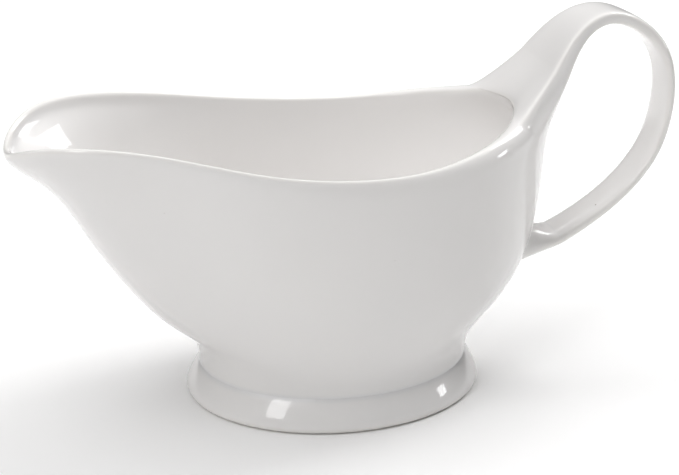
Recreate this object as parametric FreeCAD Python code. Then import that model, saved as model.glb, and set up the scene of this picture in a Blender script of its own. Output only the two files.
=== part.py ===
import FreeCAD, Part
import math
import os

# Porcelain gravy boat, drawn in millimetres, +Z up.
# The origin is the centre of the oval foot, on the surface that the boat stands on.
# The pouring lip points along -X, the handle along +X, and XZ is the plane of symmetry.
# Bowl, foot and handle are three castings that are joined before the glaze firing,
# so they touch face to face and nothing on the boat moves.

# ---- shared by every casting ----
COLUMNS = 16           # control points round each closed ring
DEGREE = 3             # cubic both ways

# ---- joint between the bowl and the foot ----
WAIST_HALF_LENGTH = 45.8
WAIST_HALF_WIDTH = 37.5
WAIST_Z = 10.8

# ---- bowl ----
FLOOR_THICKNESS = 5.5
FLOOR_HALF_LENGTH = 33.0     # flat of the inside, before it turns up into the walls
FLOOR_HALF_WIDTH = 26.0
DRAIN_HALF_LENGTH = 8.0      # innermost ring of the inside surface
DRAIN_HALF_WIDTH = 6.0
CREST_RISE = 0.8             # roundness of the rim's top edge
CREST_INSET = 0.40           # how far its outer corner is softened, as a share of its width

# Control points of the rim's outer edge, from the handle round to the tip of the lip.
RIM_OUTER = [(78.5, 0, 98), (70.5, 14.5, 97.5), (58.5, 28, 95), (41, 42, 90.5), (13.5, 49, 86),
             (-28.5, 49, 89), (-63, 36.5, 98.5), (-100.5, 30, 100.5), (-111, 0, 85.5)]
# The same for the inner edge: a narrow rim that widens into a ledge under the handle.
RIM_INNER = [(61, 0, 97.5), (57.5, 14.5, 96), (49.5, 26, 92), (36.5, 37.5, 89.5), (13, 46, 85),
             (-28, 46.5, 88), (-60.5, 34.5, 96), (-97, 26, 98.5), (-105.5, 0, 86)]

# Rows of the walls as (share of the way out, share of the way up) from floor to rim,
# given under the handle, at the side and under the lip.
OUTSIDE_ROWS = [
    ((0.00, 0.000), (0.00, 0.000), (0.00, 0.000)),
    ((0.00, 0.040), (0.00, 0.030), (0.00, 0.050)),
    ((0.06, 0.140), (0.12, 0.080), (0.02, 0.155)),
    ((0.36, 0.250), (0.45, 0.180), (0.19, 0.230)),
    ((0.69, 0.340), (0.85, 0.330), (0.345, 0.380)),
    ((0.86, 0.580), (1.00, 0.580), (0.56, 0.620)),
    ((0.89, 0.840), (1.01, 0.820), (0.70, 0.835)),
    ((1.00, 0.945), (1.00, 0.935), (0.95, 0.945)),
]
INSIDE_ROWS = [
    ((1.00, 0.970), (1.00, 0.970), (1.00, 0.970)),
    ((1.24, 0.880), (1.00, 0.860), (0.84, 0.930)),
    ((1.25, 0.660), (0.98, 0.640), (0.69, 0.780)),
    ((1.15, 0.400), (0.92, 0.380), (0.56, 0.530)),
    ((0.73, 0.210), (0.76, 0.160), (0.38, 0.300)),
    ((0.29, 0.040), (0.45, 0.020), (0.13, 0.090)),
    ((0.00, 0.000), (0.00, 0.000), (0.00, 0.000)),
]

# ---- foot: one section, carried round the waist oval ----
# Each point is (distance outside the waist oval, height). The outside runs from the crisp
# edge at the waist down to the ground ring, the inside from the ring up to the bowl.
FOOT_OUTSIDE = [(0.0, 10.8), (1.2, 9.4), (2.7, 6.8), (4.0, 4.3), (4.7, 2.2), (4.5, 0.6), (2.8, 0.0)]
FOOT_INSIDE = [(-0.8, 0.0), (-2.2, 0.5), (-3.0, 2.5), (-4.0, 6.0), (-4.8, 9.0), (-5.0, 10.8)]

# ---- handle: a strap that rises from the rear of the rim and comes back to the wall ----
# Each station is (x, z, half width, thickness, how far its edges trail the middle, exponent
# of its section: 2 is an ellipse, and a higher one is nearer to a slab with round corners).
HANDLE_STATIONS = [
    (69.5, 90.0, 17.0, 9.0, 5.0, 6.0),
    (69.5, 95.5, 19.5, 13.0, 5.0, 6.0),
    (72.5, 103.5, 18.5, 7.0, 2.0, 6.0),
    (79.5, 118.5, 12.0, 5.5, 0.5, 6.0),
    (92.5, 125.5, 9.0, 5.2, 0.0, 5.0),
    (108.5, 117.0, 7.4, 4.8, 0.0, 3.5),
    (116.0, 105.5, 7.4, 4.8, 0.0, 2.6),
    (116.5, 89.5, 7.6, 4.9, 0.0, 2.3),
    (112.5, 74.5, 7.8, 5.0, 0.0, 2.3),
    (103.0, 62.5, 7.7, 5.4, 0.0, 2.3),
    (91.5, 53.5, 7.6, 5.8, 0.0, 2.3),
    (77.5, 45.5, 7.8, 6.4, 0.0, 2.3),
    (66.0, 41.0, 8.5, 7.0, 0.0, 2.3),
    (57.5, 34.5, 8.5, 4.0, 0.0, 2.3),
]


def ring_angles():
    return [2 * math.pi * k / COLUMNS for k in range(COLUMNS)]


def oval(half_length, half_width, z):
    """Control ring whose curve is an oval of these half axes."""
    step = 2 * math.pi / COLUMNS
    reach = 6 / (4 + 2 * math.cos(step))
    return [(half_length * reach * math.cos(a), half_width * reach * math.sin(a), z)
            for a in ring_angles()]


def mirrored(half_ring):
    """Full ring from its points on the +Y side, both ends lying on the plane of symmetry."""
    other_side = [(x, -y, z) for x, y, z in half_ring[-2:0:-1]]
    return list(half_ring) + other_side


def shares(row):
    """The row's shares at every column: rear, side and front blended round the bowl."""
    rear, side, front = row
    result = []
    for a in ring_angles():
        to_rear = max(0.0, math.cos(a)) ** 2
        to_front = max(0.0, -math.cos(a)) ** 2
        to_side = 1 - to_rear - to_front
        result.append([to_rear * r + to_side * s + to_front * f
                       for r, s, f in zip(rear, side, front)])
    return result


def wall_row(base, rim, row):
    ring = []
    for (bx, by, bz), (rx, ry, rz), (out, up) in zip(base, rim, shares(row)):
        ring.append((bx + (rx - bx) * out, by + (ry - by) * out, bz + (rz - bz) * up))
    return ring


def between(ring, other, share):
    """Ring that lies this share of the way from one ring to the other."""
    return [tuple(a + (b - a) * share for a, b in zip(p, q)) for p, q in zip(ring, other)]


def raised(ring, rise):
    return [(x, y, z + rise) for x, y, z in ring]


def outer_rings():
    waist = oval(WAIST_HALF_LENGTH, WAIST_HALF_WIDTH, WAIST_Z)
    rim = mirrored(RIM_OUTER)
    crest = between(rim, mirrored(RIM_INNER), CREST_INSET)
    return [wall_row(waist, rim, row) for row in OUTSIDE_ROWS] + [raised(crest, CREST_RISE)]


def inner_rings():
    floor_z = WAIST_Z + FLOOR_THICKNESS
    floor = oval(FLOOR_HALF_LENGTH, FLOOR_HALF_WIDTH, floor_z)
    rim = mirrored(RIM_INNER)
    rings = [raised(rim, CREST_RISE)] + [wall_row(floor, rim, row) for row in INSIDE_ROWS]
    return rings + [oval(DRAIN_HALF_LENGTH, DRAIN_HALF_WIDTH, floor_z)]


def foot_rings(section):
    return [oval(WAIST_HALF_LENGTH + out, WAIST_HALF_WIDTH + out, z) for out, z in section]


def section(squareness):
    """Control points of a rounded oblong, one unit to each side, as (across, through)."""
    points = []
    for a in ring_angles():
        across = math.copysign(abs(math.cos(a)) ** (2 / squareness), math.cos(a))
        through = math.copysign(abs(math.sin(a)) ** (2 / squareness), math.sin(a))
        points.append((across, through))
    return points


def strap_rings():
    """Oblong sections square to the handle's line, bent back towards their edges."""
    rings = []
    last = len(HANDLE_STATIONS) - 1
    for k, (x, z, half_width, thickness, trail, squareness) in enumerate(HANDLE_STATIONS):
        before = HANDLE_STATIONS[max(0, k - 1)]
        after = HANDLE_STATIONS[min(last, k + 1)]
        run_x, run_z = after[0] - before[0], after[1] - before[1]
        run = math.hypot(run_x, run_z)
        outward_x, outward_z = -run_z / run, run_x / run
        ring = []
        for across, through in section(squareness):
            offset = through * thickness / 2 + trail * across ** 2
            ring.append((x + outward_x * offset, across * half_width, z + outward_z * offset))
        rings.append(ring)
    return rings


def knots(count, closed):
    spans = count if closed else count - DEGREE
    values = [float(k) for k in range(spans + 1)]
    multiplicities = [1] * len(values)
    if not closed:
        multiplicities[0] = multiplicities[-1] = DEGREE + 1
    return values, multiplicities


def skin(rings):
    """Cubic face closed round its rings and clamped to the first and the last of them."""
    around, around_mult = knots(COLUMNS, True)
    along, along_mult = knots(len(rings), False)
    poles = [[FreeCAD.Vector(*ring[column]) for ring in rings] for column in range(COLUMNS)]
    surface = Part.BSplineSurface()
    surface.buildFromPolesMultsKnots(poles, around_mult, along_mult, around, along,
                                     True, False, DEGREE, DEGREE)
    return surface.toShape()


def end_edges(face):
    """The two closed edges that bound a skin, the lower one first."""
    ends = [edge for edge in face.Edges if not edge.isSeam(face)]
    return sorted(ends, key=lambda edge: edge.CenterOfMass.z)


def flat(*edges):
    """Plane face inside the first closed edge, less the others."""
    return Part.Face([Part.Wire(edge) for edge in edges])


def closed(faces):
    shell = Part.Shell(faces)
    shell.sewShape()
    solid = Part.Solid(shell)
    if solid.Volume < 0:
        solid.reverse()
    return solid


def make_bowl():
    walls = skin(outer_rings() + inner_rings())
    underside, drain = end_edges(walls)
    return closed([walls, flat(underside), flat(drain)])


def make_foot():
    outside = skin(foot_rings(FOOT_OUTSIDE))
    inside = skin(foot_rings(FOOT_INSIDE))
    ground_outer, top_outer = end_edges(outside)
    ground_inner, top_inner = end_edges(inside)
    ground_ring = flat(ground_outer, ground_inner)
    top_ring = flat(top_outer, top_inner)
    return closed([outside, ground_ring, inside, top_ring])


def make_handle(bowl):
    """The strap with the bowl's wall taken out of both its ends."""
    strap = skin(strap_rings())
    whole = closed([strap] + [flat(edge) for edge in end_edges(strap)])
    outside_the_wall = whole.cut(bowl).Solids
    return max(outside_the_wall, key=lambda solid: solid.Volume)


def main():
    bowl = make_bowl()
    nodes = {
        "bowl": bowl,
        "pedestal_foot": make_foot(),
        "strap_handle": make_handle(bowl),
    }
    os.makedirs("parts", exist_ok=True)
    for name, shape in nodes.items():
        shape.exportStep("parts/" + name + ".step")
        box = shape.optimalBoundingBox(False)
        size = "%.1f x %.1f x %.1f mm" % (box.XLength, box.YLength, box.ZLength)
        print("%s: %.1f cm3, %s, valid %s" % (name, shape.Volume / 1000, size, shape.isValid()))


main()
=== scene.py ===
import math

import bpy
import numpy as np
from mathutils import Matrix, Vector


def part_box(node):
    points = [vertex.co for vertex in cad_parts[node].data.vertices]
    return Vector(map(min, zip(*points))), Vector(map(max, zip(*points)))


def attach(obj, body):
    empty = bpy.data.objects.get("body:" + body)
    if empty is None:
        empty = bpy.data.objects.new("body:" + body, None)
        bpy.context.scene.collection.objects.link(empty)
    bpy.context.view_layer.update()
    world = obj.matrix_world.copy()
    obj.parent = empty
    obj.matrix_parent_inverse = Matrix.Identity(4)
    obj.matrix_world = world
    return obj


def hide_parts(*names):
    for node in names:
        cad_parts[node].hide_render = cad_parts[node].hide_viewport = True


# Looks of the porcelain gravy boat: bowl, foot and handle as smooth glazed meshes,
# on a pale floor in soft studio light. Shapes are worked out in millimetres and every object is
# in metres, in the frame of the CAD model: lip along -X, handle along +X, XZ the plane of
# symmetry, and the foot standing on z = 0.

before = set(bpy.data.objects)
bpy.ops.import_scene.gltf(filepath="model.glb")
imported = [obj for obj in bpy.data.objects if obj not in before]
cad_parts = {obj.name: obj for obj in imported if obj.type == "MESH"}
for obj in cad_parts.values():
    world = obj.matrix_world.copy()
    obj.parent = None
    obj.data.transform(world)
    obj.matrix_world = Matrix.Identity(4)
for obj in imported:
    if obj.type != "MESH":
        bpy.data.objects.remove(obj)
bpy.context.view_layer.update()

MM = 0.001

# ---- the surfaces' control nets, in millimetres, as the CAD model has them ----
COLUMNS = 16
DEGREE = 3
WAIST_HALF_LENGTH = 45.8
WAIST_HALF_WIDTH = 37.5
WAIST_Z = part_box("bowl")[0].z / MM
FLOOR_THICKNESS = 5.5
FLOOR_HALF_LENGTH = 33.0     # flat of the inside, before it turns up into the walls
FLOOR_HALF_WIDTH = 26.0
DRAIN_HALF_LENGTH = 8.0      # innermost ring of the inside surface
DRAIN_HALF_WIDTH = 6.0
CREST_RISE = 0.8             # roundness of the rim's top edge
CREST_INSET = 0.40           # how far its outer corner is softened, as a share of its width

# Rim, from the handle round to the tip of the lip: outer edge and inner edge.
RIM_OUTER = [(78.5, 0, 98), (70.5, 14.5, 97.5), (58.5, 28, 95), (41, 42, 90.5), (13.5, 49, 86),
             (-28.5, 49, 89), (-63, 36.5, 98.5), (-100.5, 30, 100.5), (-111, 0, 85.5)]
RIM_INNER = [(61, 0, 97.5), (57.5, 14.5, 96), (49.5, 26, 92), (36.5, 37.5, 89.5), (13, 46, 85),
             (-28, 46.5, 88), (-60.5, 34.5, 96), (-97, 26, 98.5), (-105.5, 0, 86)]

# Rows of the walls as (share of the way out, share of the way up) from floor to rim,
# given under the handle, at the side and under the lip.
OUTSIDE_ROWS = [
    ((0.00, 0.000), (0.00, 0.000), (0.00, 0.000)),
    ((0.00, 0.040), (0.00, 0.030), (0.00, 0.050)),
    ((0.06, 0.140), (0.12, 0.080), (0.02, 0.155)),
    ((0.36, 0.250), (0.45, 0.180), (0.19, 0.230)),
    ((0.69, 0.340), (0.85, 0.330), (0.345, 0.380)),
    ((0.86, 0.580), (1.00, 0.580), (0.56, 0.620)),
    ((0.89, 0.840), (1.01, 0.820), (0.70, 0.835)),
    ((1.00, 0.945), (1.00, 0.935), (0.95, 0.945)),
]
INSIDE_ROWS = [
    ((1.00, 0.970), (1.00, 0.970), (1.00, 0.970)),
    ((1.24, 0.880), (1.00, 0.860), (0.84, 0.930)),
    ((1.25, 0.660), (0.98, 0.640), (0.69, 0.780)),
    ((1.15, 0.400), (0.92, 0.380), (0.56, 0.530)),
    ((0.73, 0.210), (0.76, 0.160), (0.38, 0.300)),
    ((0.29, 0.040), (0.45, 0.020), (0.13, 0.090)),
    ((0.00, 0.000), (0.00, 0.000), (0.00, 0.000)),
]

# Foot section as (distance outside the waist oval, height).
FOOT_OUTSIDE = [(0.0, 10.8), (1.2, 9.4), (2.7, 6.8), (4.0, 4.3), (4.7, 2.2), (4.5, 0.6), (2.8, 0.0)]
FOOT_INSIDE = [(-0.8, 0.0), (-2.2, 0.5), (-3.0, 2.5), (-4.0, 6.0), (-4.8, 9.0), (-5.0, 10.8)]

# Handle stations as (x, z, half width, thickness, trail of the edges, exponent of the section).
HANDLE_STATIONS = [
    (69.5, 90.0, 17.0, 9.0, 5.0, 6.0),
    (69.5, 95.5, 19.5, 13.0, 5.0, 6.0),
    (72.5, 103.5, 18.5, 7.0, 2.0, 6.0),
    (79.5, 118.5, 12.0, 5.5, 0.5, 6.0),
    (92.5, 125.5, 9.0, 5.2, 0.0, 5.0),
    (108.5, 117.0, 7.4, 4.8, 0.0, 3.5),
    (116.0, 105.5, 7.4, 4.8, 0.0, 2.6),
    (116.5, 89.5, 7.6, 4.9, 0.0, 2.3),
    (112.5, 74.5, 7.8, 5.0, 0.0, 2.3),
    (103.0, 62.5, 7.7, 5.4, 0.0, 2.3),
    (91.5, 53.5, 7.6, 5.8, 0.0, 2.3),
    (77.5, 45.5, 7.8, 6.4, 0.0, 2.3),
    (66.0, 41.0, 8.5, 7.0, 0.0, 2.3),
    (57.5, 34.5, 8.5, 4.0, 0.0, 2.3),
]

# ---- how finely the meshes are drawn ----
AROUND_PER_COLUMN = 12
ALONG_PER_SPAN = 10
HANDLE_SIDES = 96
ROOT_ROWS = 22             # rows of each blend between handle and bowl
STRAP_ROWS_PER_SPAN = 10
STRAP_SEARCH_STEPS = 400   # places tried along the strap to find where its blends begin
TINY = 1e-12               # keeps a division by a zero length harmless

# ---- where the handle's blends begin and end, in millimetres ----
STRAP_START_Z = 108.0      # the strap proper begins this high
STRAP_END_X = 79.0         # and ends this far from the foot's centre
ROOT_SKIRT = 0.6           # a root's edge runs on under the bowl's surface by this much
ROOT_SKIRT_SINK = 0.03     # and ends this deep
ROOT_SINK = 1.6            # how far a root's hidden end sits inside the wall
CAP_SHARES = (0.2, 0.45, 0.7, 0.9, 1.0)    # rings of the hidden end, from its middle outwards
# Half of each root's outline on the bowl, as (columns to the side, spans along the bowl's net),
# from the strap's outward face round its edge to its inward face.
UPPER_OUTLINE = [(0, 8.6), (0.95, 8.45), (1.8, 7.5), (1.95, 6.95), (1.85, 6.4),
                 (1.6, 5.9), (1.15, 5.45), (0.6, 5.2), (0, 5.1)]
LOWER_OUTLINE = [(0, 2.68), (0.3, 2.7), (0.54, 2.78), (0.66, 2.94), (0.69, 3.12),
                 (0.66, 3.3), (0.54, 3.46), (0.3, 3.54), (0, 3.56)]
# How far a root follows the bowl's surface before it turns into the strap: at the outward
# face, at the edges and at the inward face, then along the strap itself, and last how much
# of its outline leaves along the rim instead of across it.
UPPER_PULLS = (7.0, 14.0, 15.0, 12.0, 4.0)
LOWER_PULLS = (5.0, 2.5, 3.0, 7.0, 1.0)


# ---------------------------------------------------------------- control rings

def ring_angles():
    return [2 * math.pi * k / COLUMNS for k in range(COLUMNS)]


def oval(half_length, half_width, z):
    """Control ring whose curve is an oval of these half axes."""
    step = 2 * math.pi / COLUMNS
    reach = 6 / (4 + 2 * math.cos(step))
    return [(half_length * reach * math.cos(a), half_width * reach * math.sin(a), z)
            for a in ring_angles()]


def mirrored(half_ring):
    """Full ring from its points on the +Y side, both ends lying on the plane of symmetry."""
    return list(half_ring) + [(x, -y, z) for x, y, z in half_ring[-2:0:-1]]


def shares(row):
    """The row's shares at every column: rear, side and front blended round the bowl."""
    rear, side, front = row
    result = []
    for a in ring_angles():
        to_rear = max(0.0, math.cos(a)) ** 2
        to_front = max(0.0, -math.cos(a)) ** 2
        to_side = 1 - to_rear - to_front
        result.append([to_rear * r + to_side * s + to_front * f
                       for r, s, f in zip(rear, side, front)])
    return result


def wall_row(base, rim, row):
    ring = []
    for (bx, by, bz), (rx, ry, rz), (out, up) in zip(base, rim, shares(row)):
        ring.append((bx + (rx - bx) * out, by + (ry - by) * out, bz + (rz - bz) * up))
    return ring


def between(ring, other, share):
    """Ring that lies this share of the way from one ring to the other."""
    return [tuple(a + (b - a) * share for a, b in zip(p, q)) for p, q in zip(ring, other)]


def raised(ring, rise):
    return [(x, y, z + rise) for x, y, z in ring]


def bowl_rings():
    """From the waist up the outside, over the rim and down the inside to the floor."""
    waist = oval(WAIST_HALF_LENGTH, WAIST_HALF_WIDTH, WAIST_Z)
    floor_z = WAIST_Z + FLOOR_THICKNESS
    floor = oval(FLOOR_HALF_LENGTH, FLOOR_HALF_WIDTH, floor_z)
    outer_rim, inner_rim = mirrored(RIM_OUTER), mirrored(RIM_INNER)
    rings = [wall_row(waist, outer_rim, row) for row in OUTSIDE_ROWS]
    crest = between(outer_rim, inner_rim, CREST_INSET)
    rings += [raised(crest, CREST_RISE), raised(inner_rim, CREST_RISE)]
    rings += [wall_row(floor, inner_rim, row) for row in INSIDE_ROWS]
    return rings + [oval(DRAIN_HALF_LENGTH, DRAIN_HALF_WIDTH, floor_z)]


def foot_rings(profile):
    return [oval(WAIST_HALF_LENGTH + out, WAIST_HALF_WIDTH + out, z) for out, z in profile]


def section(squareness):
    """Control points of a rounded oblong, one unit to each side, as (across, through)."""
    points = []
    for a in ring_angles():
        across = math.copysign(abs(math.cos(a)) ** (2 / squareness), math.cos(a))
        through = math.copysign(abs(math.sin(a)) ** (2 / squareness), math.sin(a))
        points.append((across, through))
    return points


def strap_rings():
    """Oblong sections square to the handle's line, bent back towards their edges."""
    rings = []
    last = len(HANDLE_STATIONS) - 1
    for k, (x, z, half_width, thickness, trail, squareness) in enumerate(HANDLE_STATIONS):
        before = HANDLE_STATIONS[max(0, k - 1)]
        after = HANDLE_STATIONS[min(last, k + 1)]
        run_x, run_z = after[0] - before[0], after[1] - before[1]
        run = math.hypot(run_x, run_z)
        outward_x, outward_z = -run_z / run, run_x / run
        ring = []
        for across, through in section(squareness):
            offset = through * thickness / 2 + trail * across ** 2
            ring.append((x + outward_x * offset, across * half_width, z + outward_z * offset))
        rings.append(ring)
    return rings


# ---------------------------------------------------------------- smooth surfaces

def round_weights(places):
    """Weights of the columns at places 0 to COLUMNS round a closed ring."""
    cell = np.floor(places).astype(int)
    f = places - cell
    blend = np.stack([(1 - f) ** 3, 3 * f ** 3 - 6 * f ** 2 + 4,
                      -3 * f ** 3 + 3 * f ** 2 + 3 * f + 1, f ** 3], -1) / 6
    weights = np.zeros((len(places), COLUMNS))
    for k in range(4):
        weights[np.arange(len(places)), (cell + k - 1) % COLUMNS] += blend[:, k]
    return weights


def clamped_weights(places, rows):
    """Weights of the rows at places 0 to rows - DEGREE along a net with clamped ends."""
    spans = rows - DEGREE
    knots = np.concatenate([[0.0] * DEGREE, np.arange(spans + 1.0), [float(spans)] * DEGREE])
    at = np.clip(places, 0, spans - 1e-9)[:, None]
    weights = ((at >= knots[:-1]) & (at < knots[1:])).astype(float)
    for degree in range(1, DEGREE + 1):
        width_left = np.maximum(knots[degree:-1] - knots[:-degree - 1], TINY)
        width_right = np.maximum(knots[degree + 1:] - knots[1:-degree], TINY)
        rising = (at - knots[:-degree - 1]) / width_left * weights[:, :-1]
        falling = (knots[degree + 1:] - at) / width_right * weights[:, 1:]
        weights = rising + falling
    return weights


class Skin:
    """Cubic surface closed round its rings and clamped to the first and the last."""

    def __init__(self, rings):
        self.net = np.array(rings, float)
        self.length = len(rings) - DEGREE

    def points(self, around, along):
        """One point for each pair of places round and along."""
        across = round_weights(np.asarray(around, float))
        up = clamped_weights(np.asarray(along, float), len(self.net))
        return np.einsum("pr,pc,rcx->px", up, across, self.net)

    def grid(self, around, along):
        """Every place round at every place along."""
        across = round_weights(np.asarray(around, float))
        up = clamped_weights(np.asarray(along, float), len(self.net))
        return np.einsum("ir,jc,rcx->ijx", up, across, self.net)

    def whole(self):
        """Every point that the bowl's and the foot's meshes take from their surfaces."""
        around = np.arange(0, COLUMNS, 1 / AROUND_PER_COLUMN)
        return self.grid(around, np.linspace(0, self.length, self.length * ALONG_PER_SPAN + 1))

    def slopes(self, around, along, step=1e-3):
        """Change of the point per unit of place, round and along."""
        around, along = np.asarray(around, float), np.asarray(along, float)
        round_slope = (self.points(around + step, along) - self.points(around - step, along))
        along_slope = (self.points(around, along + step) - self.points(around, along - step))
        return round_slope / (2 * step), along_slope / (2 * step)


# ---------------------------------------------------------------- meshes

def closed_tube(name, grid, loops=False, sharp_rows=()):
    """Mesh from rows of points in mm. Its ends are capped, or joined where it loops."""
    rows, sides = grid.shape[:2]
    points = [tuple(p * MM) for p in grid.reshape(-1, 3)]
    faces = []
    for i in range(rows if loops else rows - 1):
        here, after = i * sides, (i + 1) % rows * sides
        for j in range(sides):
            k = (j + 1) % sides
            faces.append((here + j, here + k, after + k, after + j))
    if not loops:
        for start, turn in ((0, -1), ((rows - 1) * sides, 1)):
            centre = len(points)
            points.append(tuple(grid.reshape(-1, 3)[start:start + sides].mean(0) * MM))
            for j in range(sides):
                pair = (start + j, start + (j + 1) % sides)
                faces.append((centre,) + pair[::turn])
    mesh = bpy.data.meshes.new(name)
    mesh.from_pydata(points, [], faces)
    mesh.update()
    mesh.polygons.foreach_set("use_smooth", [True] * len(mesh.polygons))
    for edge in mesh.edges:
        row, other_row = (corner // sides for corner in edge.vertices)
        if row == other_row and row in sharp_rows:
            edge.use_edge_sharp = True
    piece = bpy.data.objects.new(name, mesh)
    bpy.context.scene.collection.objects.link(piece)
    return piece


def on_body(piece, node):
    """The piece, riding on the boat's one body and standing for this CAD node."""
    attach(piece, "root")
    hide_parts(node)
    return piece


def make_bowl(skin):
    piece = closed_tube("glazed_bowl", skin.whole(), sharp_rows=(0,))
    return on_body(piece, "bowl")


def make_foot():
    down = Skin(foot_rings(FOOT_OUTSIDE)).whole()
    up = Skin(foot_rings(FOOT_INSIDE)).whole()
    # Turned round, so that its faces look outwards as the bowl's do.
    grid = np.concatenate([down, up])[::-1]
    sharp_rows = (0, len(up) - 1, len(up), len(grid) - 1)
    piece = closed_tube("glazed_foot", grid, loops=True, sharp_rows=sharp_rows)
    return on_body(piece, "pedestal_foot")


def unit(vectors):
    return vectors / np.linalg.norm(vectors, axis=1)[:, None]


def sunk(bowl, places, depth):
    """Points this far under the bowl's surface at (round, along) places."""
    round_slope, along_slope = bowl.slopes(*places.T)
    return bowl.points(*places.T) - unit(np.cross(round_slope, along_slope)) * depth


def handle_turns():
    """Places round the handle's sections, counted in columns."""
    return COLUMNS * np.arange(HANDLE_SIDES) / HANDLE_SIDES


def hermite_rows(start, start_pull, end, end_pull):
    """Rows of a cubic blend from start up to, but not including, end."""
    rows = []
    for t in np.linspace(0, 1, ROOT_ROWS, endpoint=False):
        rows.append((2 * t ** 3 - 3 * t ** 2 + 1) * start + (t ** 3 - 2 * t ** 2 + t) * start_pull
                    + (3 * t ** 2 - 2 * t ** 3) * end + (t ** 3 - t ** 2) * end_pull)
    return rows


def root(bowl, half_outline, pulls, end, end_way):
    """Rows of a root, from inside the wall to the strap's end, that leave the wall smoothly."""
    turns = handle_turns()
    other_half = [(-u, v) for u, v in half_outline[1:-1]]
    # The half outline begins at the outward face, a quarter of the way round the strap.
    control = np.roll(half_outline[::-1] + other_half, -(COLUMNS // 4), 0)
    outline = round_weights(turns) @ control
    middle = outline.mean(0)
    hidden = [sunk(bowl, middle + (outline - middle) * share, ROOT_SINK) for share in CAP_SHARES]

    round_way, along_way = map(unit, bowl.slopes(*outline.T))
    outward_pull, edge_pull, inward_pull, strap_pull, edge_reach = pulls
    outwards = np.sin(turns * 2 * math.pi / COLUMNS)   # 1 at the outward face, -1 at the inward
    heading = abs(outwards) ** edge_reach * math.pi / 2
    to_rear = -np.sign(outline[:, :1]) * np.cos(heading)[:, None]
    to_middle = np.sign(middle[1] - outline[:, 1:]) * np.sin(heading)[:, None]
    way = unit(round_way * to_rear + along_way * to_middle)
    face_pull = np.where(outwards > 0, outward_pull, inward_pull)
    pull = face_pull * outwards ** 2 + edge_pull * (1 - outwards ** 2)
    start = sunk(bowl, outline, 0.0)
    blend = hermite_rows(start, way * pull[:, None], end, unit(end_way) * strap_pull)
    skirt = sunk(bowl, outline, ROOT_SKIRT_SINK) - way * ROOT_SKIRT
    return hidden + [skirt] + blend


def strap_ends(strap):
    """Places along the strap where it leaves the upper root and meets the lower one."""
    along = np.linspace(0, strap.length, STRAP_SEARCH_STEPS)
    middle = strap.grid(np.arange(COLUMNS), along).mean(1)
    top, outermost = middle[:, 2].argmax(), middle[:, 0].argmax()
    first = np.interp(STRAP_START_Z, middle[:top, 2], along[:top])
    last = np.interp(-STRAP_END_X, -middle[outermost:, 0], along[outermost:])
    return first, last


def make_handle(bowl):
    strap = Skin(strap_rings())
    around = handle_turns()
    first, last = strap_ends(strap)
    rows = int((last - first) * STRAP_ROWS_PER_SPAN)
    body = strap.grid(around, np.linspace(first, last, rows))
    first_way = strap.slopes(around, np.full(HANDLE_SIDES, first))[1]
    last_way = strap.slopes(around, np.full(HANDLE_SIDES, last))[1]
    upper = root(bowl, UPPER_OUTLINE, UPPER_PULLS, body[0], first_way)
    lower = root(bowl, LOWER_OUTLINE, LOWER_PULLS, body[-1], -last_way)
    grid = np.array(upper + list(body) + lower[::-1])
    return on_body(closed_tube("glazed_handle", grid), "strap_handle")


# ---------------------------------------------------------------- materials

class Nodes:
    """Short names for building a material's nodes."""

    def __init__(self, name):
        self.material = bpy.data.materials.new(name)
        self.material.use_nodes = True
        self.tree = self.material.node_tree
        self.shader = self.tree.nodes["Principled BSDF"]

    def add(self, kind, inputs=None, **settings):
        """New node. Its inputs, by name or number, take a value or another node's output."""
        node = self.tree.nodes.new(kind)
        for key, value in settings.items():
            setattr(node, key, value)
        for key, value in (inputs or {}).items():
            if isinstance(value, bpy.types.NodeSocket):
                self.tree.links.new(value, node.inputs[key])
            else:
                node.inputs[key].default_value = value
        return node

    def link(self, source, socket):
        self.tree.links.new(source, self.shader.inputs[socket])

    def calc(self, a, operation, b):
        return self.add("ShaderNodeMath", {0: a, 1: b}, operation=operation).outputs[0]

    def ramp(self, value, low, high, to_low=0.0, to_high=1.0):
        """The value carried smoothly from low-high to to_low-to_high and held outside."""
        return self.add("ShaderNodeMapRange", {0: value, 1: low, 2: high, 3: to_low, 4: to_high},
                        interpolation_type="SMOOTHSTEP").outputs[0]

    def noise(self, place, size, detail=2.0):
        """Noise from 0 to 1 whose patches are about this many metres across."""
        return self.add("ShaderNodeTexNoise", {"Vector": place, "Scale": 1 / size,
                                               "Detail": detail}).outputs[0]

    def mix(self, share, first, second):
        node = self.add("ShaderNodeMix", {0: share}, data_type="RGBA")
        for socket, colour in ((node.inputs[6], first), (node.inputs[7], second)):
            if isinstance(colour, bpy.types.NodeSocket):
                self.tree.links.new(colour, socket)
            else:
                socket.default_value = (*colour, 1)
        return node.outputs[2]

    def bump(self, height, depth, normal=None):
        """Relief of this depth in metres, on top of another one."""
        inputs = {"Height": height, "Distance": depth, "Strength": 1.0}
        if normal:
            inputs["Normal"] = normal
        return self.add("ShaderNodeBump", inputs).outputs[0]


BODY_WHITE = (0.868, 0.852, 0.84)
THIN_GLAZE = (0.87, 0.85, 0.82)        # warmer, where the body shows through at a crest
POOLED_GLAZE_AND_SHADE = (0.765, 0.765, 0.775)   # cooler and deeper: glaze gathered in a hollow, partly painted shade there and in the bowl-foot crease; also the clouds' tint
BARE_BODY = (0.74, 0.70, 0.64)
IRON_SPECK = (0.30, 0.25, 0.20)
# How strongly clouds, crests, hollows and specks are tinted, from 0 to 1. The hollows' tint is
# pooled glaze and painted shade.
CLOUD_TINT = 0.18
CREST_TINT = 0.6
HOLLOW_TINT = 0.55
SPECK_TINT = 0.75

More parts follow.
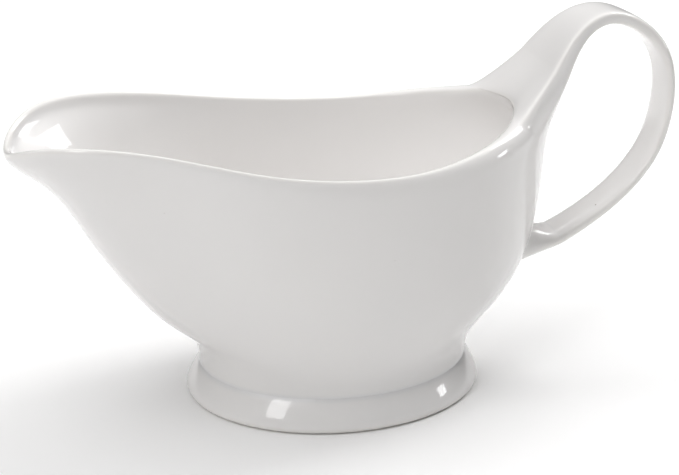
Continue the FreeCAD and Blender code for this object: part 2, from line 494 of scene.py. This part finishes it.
GLOSS = (0.05, 0.11)                   # roughness from the glossiest glaze to the least
THIN_GLAZE_DULLING = 0.2               # how far thin glaze moves towards the least glossy
BARE_ROUGHNESS = 0.75
GLAZE_IOR = 1.5
POOL_AND_SHADE_RADIUS = 4.0 * MM              # a hollow this tight gets the full pooled glaze and painted shade
HOLLOW_FROM = 0.1                      # hollowness at which pooled glaze and painted shade begin
CREST_FROM = -0.25                     # and at which glaze begins to thin
CREASE_REACH = 1.6 * MM                # glaze gathered, and painted shade, at the joint of bowl and foot
BARE_RING_HEIGHT = 0.45 * MM           # wiped clean of glaze before firing
RAGGED_EDGE = 0.3 * MM                 # how unevenly it was wiped
SPECK_CELL = 4.0 * MM
SPECK_SHARE = 0.03                     # of the cells have a speck
SPECK_RADIUS = (0.03, 0.085)           # smallest and largest, as shares of a cell
SPECK_CORE = 0.5                       # of the radius is fully coloured
NOISE_SPAN = (0.3, 0.7)                # where most values of a noise lie
DULLNESS_SPAN = (0.3, 0.8)             # the same once thin glaze is added to it

# Sizes of the patches, and depths of the reliefs.
CLOUD_SIZE = 55 * MM
GLOSS_PATCH = 18 * MM
RAGGED_SIZE = 3 * MM
WAVE_SIZE, WAVE_DEPTH = 42 * MM, 0.25 * MM         # unevenness left by the casting
PEEL_SIZE, PEEL_DEPTH = 1.8 * MM, 0.004 * MM       # orange peel of the fired glaze
GRAIN_SIZE, GRAIN_DEPTH = 0.5 * MM, 0.06 * MM      # tooth of the bare body
SPECK_DEPTH = 0.03 * MM


def glaze():
    """Clear gloss glaze on a white body, with the small faults of a real firing, and painted shade
    darkening its hollows and the crease of bowl and foot.
    """
    m = Nodes("porcelain_glaze")
    place = m.add("ShaderNodeTexCoord").outputs["Object"]
    height = m.add("ShaderNodeSeparateXYZ", {0: place}).outputs[2]
    hollowness = m.add("ShaderNodeAttribute", attribute_name="hollowness").outputs["Fac"]

    # Pooled glaze with painted shade: this mask darkens tight hollows and the crease where bowl
    # meets foot.
    from_crease = m.calc(m.calc(height, "SUBTRACT", WAIST_Z * MM), "ABSOLUTE", 0.0)
    at_crease = m.ramp(from_crease, 0.0, CREASE_REACH, 1.0, 0.0)
    pooled_and_shaded = m.calc(m.ramp(hollowness, HOLLOW_FROM, 1.0), "MAXIMUM", at_crease)
    thin = m.calc(m.ramp(hollowness, CREST_FROM, -1.0), "SUBTRACT", at_crease)
    clouds = m.noise(place, CLOUD_SIZE)

    cells = m.add("ShaderNodeTexVoronoi", {"Vector": place, "Scale": 1 / SPECK_CELL})
    chance = m.add("ShaderNodeSeparateColor", {0: cells.outputs["Color"]})
    has_speck = m.calc(chance.outputs[0], "GREATER_THAN", 1 - SPECK_SHARE)
    radius = m.ramp(chance.outputs[1], 0.0, 1.0, *SPECK_RADIUS)
    inside = m.ramp(m.calc(cells.outputs["Distance"], "DIVIDE", radius), 1.0, SPECK_CORE)
    speck = m.calc(has_speck, "MULTIPLY", inside)

    ragged = m.calc(m.noise(place, RAGGED_SIZE), "MULTIPLY", RAGGED_EDGE)
    bare = m.ramp(m.calc(height, "SUBTRACT", ragged), 0.0, BARE_RING_HEIGHT, 1.0, 0.0)

    colour = m.mix(m.ramp(clouds, *NOISE_SPAN, 0.0, CLOUD_TINT), BODY_WHITE, POOLED_GLAZE_AND_SHADE)
    colour = m.mix(m.calc(thin, "MULTIPLY", CREST_TINT), colour, THIN_GLAZE)
    # Painted shade, partly pooled glaze: hollows and the bowl-foot crease are mixed towards a
    # darker, cooler grey.
    colour = m.mix(m.calc(pooled_and_shaded, "MULTIPLY", HOLLOW_TINT), colour, POOLED_GLAZE_AND_SHADE)
    colour = m.mix(m.calc(speck, "MULTIPLY", SPECK_TINT), colour, IRON_SPECK)
    m.link(m.mix(bare, colour, BARE_BODY), "Base Color")

    dulling = m.calc(thin, "MULTIPLY", THIN_GLAZE_DULLING)
    dullness = m.calc(m.noise(place, GLOSS_PATCH, 4.0), "ADD", dulling)
    gloss = m.ramp(dullness, *DULLNESS_SPAN, *GLOSS)
    roughness = m.add("ShaderNodeMix", {0: bare, 2: gloss, 3: BARE_ROUGHNESS}).outputs[0]
    m.link(roughness, "Roughness")
    m.shader.inputs["IOR"].default_value = GLAZE_IOR

    normal = m.bump(m.noise(place, WAVE_SIZE, 1.0), WAVE_DEPTH)
    normal = m.bump(m.noise(place, PEEL_SIZE, 1.0), PEEL_DEPTH, normal)
    normal = m.bump(m.calc(1.0, "SUBTRACT", speck), SPECK_DEPTH, normal)
    grain = m.calc(m.noise(place, GRAIN_SIZE, 3.0), "MULTIPLY", bare)
    m.link(m.bump(grain, GRAIN_DEPTH, normal), "Normal")
    return m.material


def mark_hollows(mesh):
    """Store how hollow the surface is at each point: -1 on a tight crest, 1 in a tight hollow."""
    count = len(mesh.vertices)
    points, normals = np.empty(count * 3), np.empty(count * 3)
    mesh.vertices.foreach_get("co", points)
    mesh.vertices.foreach_get("normal", normals)
    points, normals = points.reshape(-1, 3), normals.reshape(-1, 3)
    ends = np.empty(len(mesh.edges) * 2, int)
    mesh.edges.foreach_get("vertices", ends)
    ends = ends.reshape(-1, 2)
    bend, edges_met = np.zeros(count), np.zeros(count)
    for here, there in ((ends[:, 0], ends[:, 1]), (ends[:, 1], ends[:, 0])):
        step = points[there] - points[here]
        rise = (step * normals[here]).sum(1)
        np.add.at(bend, here, 2 * rise / np.maximum((step ** 2).sum(1), TINY))
        np.add.at(edges_met, here, 1)
    hollowness = np.clip(bend / edges_met * POOL_AND_SHADE_RADIUS, -1, 1)
    mesh.attributes.new("hollowness", "FLOAT", "POINT").data.foreach_set("value", hollowness)


TABLE_PALE = (0.955, 0.952, 0.95)
TABLE_DARKER = (0.935, 0.932, 0.93)
TABLE_ROUGHNESS = (0.65, 0.8)
TABLE_SPECULAR = 0.2
MOTTLE_SIZE = 120 * MM
DULL_PATCH = 30 * MM
TOOTH_SIZE, TOOTH_DEPTH = 1.2 * MM, 0.03 * MM


def floor_material():
    """Pale matt table board with a faint mottle and tooth."""
    m = Nodes("pale_floor")
    place = m.add("ShaderNodeTexCoord").outputs["Object"]
    mottle = m.ramp(m.noise(place, MOTTLE_SIZE, 3.0), *NOISE_SPAN)
    m.link(m.mix(mottle, TABLE_PALE, TABLE_DARKER), "Base Color")
    m.link(m.ramp(m.noise(place, DULL_PATCH), *NOISE_SPAN, *TABLE_ROUGHNESS), "Roughness")
    m.link(m.bump(m.noise(place, TOOTH_SIZE, 3.0), TOOTH_DEPTH), "Normal")
    m.shader.inputs["Specular IOR Level"].default_value = TABLE_SPECULAR
    return m.material


# ---------------------------------------------------------------- studio, in metres

MIDDLE = Vector((0, 0, 0.05))          # point in the bowl that most lights are aimed at
TABLE_SIZE = 6.0
WORLD_STRENGTH = 0.05

CAMERA_AZIMUTH = -13.86                # these two in degrees, as direction() takes them
CAMERA_ELEVATION = 20.92
CAMERA_DISTANCE = 0.5122
CAMERA_TARGET = Vector((0.00242, 0.0, 0.05156))
CAMERA_LENS = 81.18                    # lens and sensor are in millimetres
SENSOR_WIDTH = 36.0


def direction(azimuth, elevation):
    """Unit vector towards a viewer or a light. In degrees: azimuth 0 is -Y and 90 is +X."""
    a, e = math.radians(azimuth), math.radians(elevation)
    return Vector((math.sin(a) * math.cos(e), -math.cos(a) * math.cos(e), math.sin(e)))


def add_floor():
    bpy.ops.mesh.primitive_plane_add(size=TABLE_SIZE, location=(0, 0, 0))
    floor = bpy.context.object
    floor.name = "studio_floor"
    floor.data.materials.append(floor_material())


def add_softbox(name, place, aim, width, height, power):
    """Rectangular lamp of this power in watts, facing the point that it is aimed at."""
    light = bpy.data.lights.new(name, "AREA")
    light.shape = "RECTANGLE"
    light.size, light.size_y = width, height
    light.energy = power
    lamp = bpy.data.objects.new(name, light)
    lamp.location = place
    lamp.rotation_mode = "QUATERNION"
    lamp.rotation_quaternion = (Vector(aim) - Vector(place)).to_track_quat("-Z", "Y")
    bpy.context.scene.collection.objects.link(lamp)


def add_lights():
    """Large ones above, smaller ones that the glaze reflects, and one for the floor behind."""
    high_left = MIDDLE + direction(-60, 62) * 1.1
    left = MIDDLE + direction(-46, 30) * 0.9
    right = MIDDLE + direction(109, 44) * 0.9
    low_right = MIDDLE + direction(76, 11) * 0.9
    add_softbox("top_softbox", (0.0, 0.35, 1.0), MIDDLE, 1.4, 1.0, 2.1)
    add_softbox("overhead_softbox", (0.0, -0.1, 1.15), MIDDLE, 1.3, 1.3, 3.6)
    add_softbox("high_left_softbox", high_left, MIDDLE, 1.1, 1.1, 5.4)
    add_softbox("left_softbox", left, MIDDLE, 0.21, 0.40, 1.5)
    add_softbox("right_softbox", right, MIDDLE, 0.38, 0.38, 3.5)
    add_softbox("right_card", low_right, MIDDLE, 0.12, 0.12, 0.42)
    add_softbox("backdrop_softbox", (0.0, 0.45, 0.8), (0.0, 1.3, 0.0), 2.0, 0.5, 8.0)


def add_world():
    world = bpy.data.worlds.new("studio")
    bpy.context.scene.world = world
    world.use_nodes = True
    background = world.node_tree.nodes["Background"]
    background.inputs["Color"].default_value = (1, 1, 1, 1)
    background.inputs["Strength"].default_value = WORLD_STRENGTH


def add_camera():
    data = bpy.data.cameras.new("camera")
    data.sensor_width = SENSOR_WIDTH
    data.lens = CAMERA_LENS
    data.clip_start, data.clip_end = 0.01, 20
    camera = bpy.data.objects.new("camera", data)
    back = direction(CAMERA_AZIMUTH, CAMERA_ELEVATION)
    camera.location = CAMERA_TARGET + back * CAMERA_DISTANCE
    camera.rotation_mode = "QUATERNION"
    camera.rotation_quaternion = (-back).to_track_quat("-Z", "Y")
    bpy.context.scene.collection.objects.link(camera)
    bpy.context.scene.camera = camera


# ---------------------------------------------------------------- the boat and its studio

bowl_skin = Skin(bowl_rings())
porcelain = glaze()
for piece in (make_bowl(bowl_skin), make_foot(), make_handle(bowl_skin)):
    mark_hollows(piece.data)
    piece.data.materials.append(porcelain)
add_floor()
add_lights()
add_world()
add_camera()
bpy.context.scene.view_settings.view_transform = "Standard"
bpy.context.view_layer.update()
